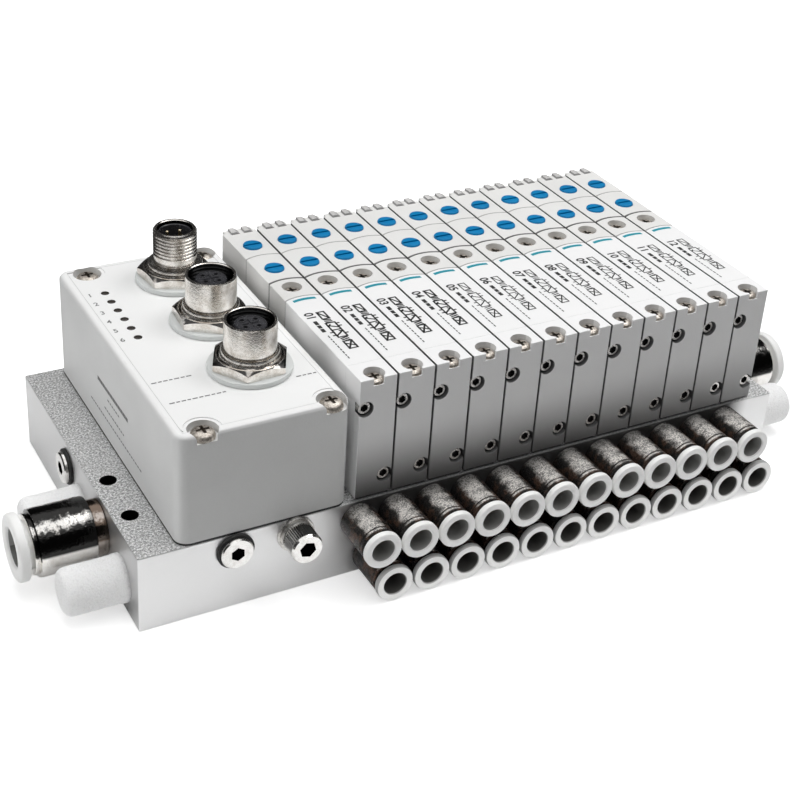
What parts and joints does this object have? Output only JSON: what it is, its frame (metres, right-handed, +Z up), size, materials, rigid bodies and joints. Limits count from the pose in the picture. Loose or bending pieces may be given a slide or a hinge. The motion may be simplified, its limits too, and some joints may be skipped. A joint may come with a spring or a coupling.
{
  "type": "pneumatic valve island",
  "caption": "Row of slim solenoid valves on a ported rail with a bus module, push-in fittings, silencers and round connectors.",
  "frame": {"origin": "centre of the rail's bottom face", "axes": "+X along the rail towards the valves' end, +Y from the port side to the rear, +Z up"},
  "size_m": [0.2422, 0.1077, 0.0696],
  "materials": {
    "rail_aluminium": "bead-blasted and clear anodised",
    "nickel": "nickel plated brass",
    "bright_chrome": "bright plated brass",
    "steel": "zinc plated steel",
    "dark_steel": "blackened steel",
    "ring_plastic": "white moulded plastic",
    "silencer_plastic": "porous sintered plastic",
    "black_rubber": "black sealing rubber",
    "grey_plastic": "fine textured grey plastic",
    "white_film": "white printed film",
    "valve_plastic": "white and grey moulded plastic",
    "pale_seal": "pale sealing ring",
    "black_plastic": "black moulded plastic",
    "contact_metal": "plated contact metal",
    "clear_lens": "clear moulded lens",
    "blue_plastic": "blue moulded plastic",
    "board_green": "coated circuit board",
    "copper_coil": "wound and taped coil"
  },
  "bodies": {
    "island": {"manifold_rail": "rail_aluminium", "link_board": "board_green", "fitting_bodies": "nickel", "fitting_release_rings": "ring_plastic", "fitting_tube_seals": "black_rubber", "fitting_grab_rings": "steel", "supply_fitting_bodies": "bright_chrome", "supply_tube_seals": "black_rubber", "silencers": "silencer_plastic", "port_plugs": "nickel", "plug_seals": "black_rubber", "ground_screw": "steel", "ground_washers": "dark_steel", "bus_housing": "grey_plastic", "bus_faceplate": "white_film", "bus_gasket": "black_rubber", "bus_screws": "nickel", "bus_circuit_board": "board_green", "indicator_lenses": "clear_lens", "connector_shells": "nickel", "connector_inserts": "black_plastic", "connector_contacts": "contact_metal", "connector_nuts": "nickel", "connector_seal_rings": "pale_seal", "valve_end_caps": "valve_plastic", "valve_bodies": "valve_plastic", "valve_adapters": "valve_plastic", "valve_pilot_heads": "valve_plastic", "valve_mount_screws": "steel", "valve_cap_screws": "dark_steel", "valve_gaskets": "black_rubber", "valve_lamp_lenses": "clear_lens", "valve_spools": "rail_aluminium", "valve_solenoids": "copper_coil"},
    "override_front_01": {"override_front_01": "blue_plastic"},
    "override_front_02": {"override_front_02": "blue_plastic"},
    "override_front_03": {"override_front_03": "blue_plastic"},
    "override_front_04": {"override_front_04": "blue_plastic"},
    "override_front_05": {"override_front_05": "blue_plastic"},
    "override_front_06": {"override_front_06": "blue_plastic"},
    "override_front_07": {"override_front_07": "blue_plastic"},
    "override_front_08": {"override_front_08": "blue_plastic"},
    "override_front_09": {"override_front_09": "blue_plastic"},
    "override_front_10": {"override_front_10": "blue_plastic"},
    "override_front_11": {"override_front_11": "blue_plastic"},
    "override_front_12": {"override_front_12": "blue_plastic"},
    "override_rear_01": {"override_rear_01": "blue_plastic"},
    "override_rear_02": {"override_rear_02": "blue_plastic"},
    "override_rear_03": {"override_rear_03": "blue_plastic"},
    "override_rear_04": {"override_rear_04": "blue_plastic"},
    "override_rear_05": {"override_rear_05": "blue_plastic"},
    "override_rear_06": {"override_rear_06": "blue_plastic"},
    "override_rear_07": {"override_rear_07": "blue_plastic"},
    "override_rear_08": {"override_rear_08": "blue_plastic"},
    "override_rear_09": {"override_rear_09": "blue_plastic"},
    "override_rear_10": {"override_rear_10": "blue_plastic"},
    "override_rear_11": {"override_rear_11": "blue_plastic"},
    "override_rear_12": {"override_rear_12": "blue_plastic"},
    "supply_release_ring_left": {"supply_release_ring_left": "ring_plastic"},
    "supply_release_ring_right": {"supply_release_ring_right": "ring_plastic"}
  },
  "joints": [
    {"name": "override_front_01_press", "type": "slide", "parent": "island", "child": "override_front_01", "axis": [0, 0, -1], "range_m": [0, 0.0012], "stiffness_N_per_m": 1500},
    {"name": "override_front_02_press", "type": "slide", "parent": "island", "child": "override_front_02", "axis": [0, 0, -1], "range_m": [0, 0.0012], "stiffness_N_per_m": 1500},
    {"name": "override_front_03_press", "type": "slide", "parent": "island", "child": "override_front_03", "axis": [0, 0, -1], "range_m": [0, 0.0012], "stiffness_N_per_m": 1500},
    {"name": "override_front_04_press", "type": "slide", "parent": "island", "child": "override_front_04", "axis": [0, 0, -1], "range_m": [0, 0.0012], "stiffness_N_per_m": 1500},
    {"name": "override_front_05_press", "type": "slide", "parent": "island", "child": "override_front_05", "axis": [0, 0, -1], "range_m": [0, 0.0012], "stiffness_N_per_m": 1500},
    {"name": "override_front_06_press", "type": "slide", "parent": "island", "child": "override_front_06", "axis": [0, 0, -1], "range_m": [0, 0.0012], "stiffness_N_per_m": 1500},
    {"name": "override_front_07_press", "type": "slide", "parent": "island", "child": "override_front_07", "axis": [0, 0, -1], "range_m": [0, 0.0012], "stiffness_N_per_m": 1500},
    {"name": "override_front_08_press", "type": "slide", "parent": "island", "child": "override_front_08", "axis": [0, 0, -1], "range_m": [0, 0.0012], "stiffness_N_per_m": 1500},
    {"name": "override_front_09_press", "type": "slide", "parent": "island", "child": "override_front_09", "axis": [0, 0, -1], "range_m": [0, 0.0012], "stiffness_N_per_m": 1500},
    {"name": "override_front_10_press", "type": "slide", "parent": "island", "child": "override_front_10", "axis": [0, 0, -1], "range_m": [0, 0.0012], "stiffness_N_per_m": 1500},
    {"name": "override_front_11_press", "type": "slide", "parent": "island", "child": "override_front_11", "axis": [0, 0, -1], "range_m": [0, 0.0012], "stiffness_N_per_m": 1500},
    {"name": "override_front_12_press", "type": "slide", "parent": "island", "child": "override_front_12", "axis": [0, 0, -1], "range_m": [0, 0.0012], "stiffness_N_per_m": 1500},
    {"name": "override_rear_01_press", "type": "slide", "parent": "island", "child": "override_rear_01", "axis": [0, 0, -1], "range_m": [0, 0.0012], "stiffness_N_per_m": 1500},
    {"name": "override_rear_02_press", "type": "slide", "parent": "island", "child": "override_rear_02", "axis": [0, 0, -1], "range_m": [0, 0.0012], "stiffness_N_per_m": 1500},
    {"name": "override_rear_03_press", "type": "slide", "parent": "island", "child": "override_rear_03", "axis": [0, 0, -1], "range_m": [0, 0.0012], "stiffness_N_per_m": 1500},
    {"name": "override_rear_04_press", "type": "slide", "parent": "island", "child": "override_rear_04", "axis": [0, 0, -1], "range_m": [0, 0.0012], "stiffness_N_per_m": 1500},
    {"name": "override_rear_05_press", "type": "slide", "parent": "island", "child": "override_rear_05", "axis": [0, 0, -1], "range_m": [0, 0.0012], "stiffness_N_per_m": 1500},
    {"name": "override_rear_06_press", "type": "slide", "parent": "island", "child": "override_rear_06", "axis": [0, 0, -1], "range_m": [0, 0.0012], "stiffness_N_per_m": 1500},
    {"name": "override_rear_07_press", "type": "slide", "parent": "island", "child": "override_rear_07", "axis": [0, 0, -1], "range_m": [0, 0.0012], "stiffness_N_per_m": 1500},
    {"name": "override_rear_08_press", "type": "slide", "parent": "island", "child": "override_rear_08", "axis": [0, 0, -1], "range_m": [0, 0.0012], "stiffness_N_per_m": 1500},
    {"name": "override_rear_09_press", "type": "slide", "parent": "island", "child": "override_rear_09", "axis": [0, 0, -1], "range_m": [0, 0.0012], "stiffness_N_per_m": 1500},
    {"name": "override_rear_10_press", "type": "slide", "parent": "island", "child": "override_rear_10", "axis": [0, 0, -1], "range_m": [0, 0.0012], "stiffness_N_per_m": 1500},
    {"name": "override_rear_11_press", "type": "slide", "parent": "island", "child": "override_rear_11", "axis": [0, 0, -1], "range_m": [0, 0.0012], "stiffness_N_per_m": 1500},
    {"name": "override_rear_12_press", "type": "slide", "parent": "island", "child": "override_rear_12", "axis": [0, 0, -1], "range_m": [0, 0.0012], "stiffness_N_per_m": 1500},
    {"name": "supply_release_ring_left_press", "type": "slide", "parent": "island", "child": "supply_release_ring_left", "axis": [1, 0, 0], "range_m": [0, 0.001], "stiffness_N_per_m": 800},
    {"name": "supply_release_ring_right_press", "type": "slide", "parent": "island", "child": "supply_release_ring_right", "axis": [-1, 0, 0], "range_m": [0, 0.001], "stiffness_N_per_m": 800}
  ]
}
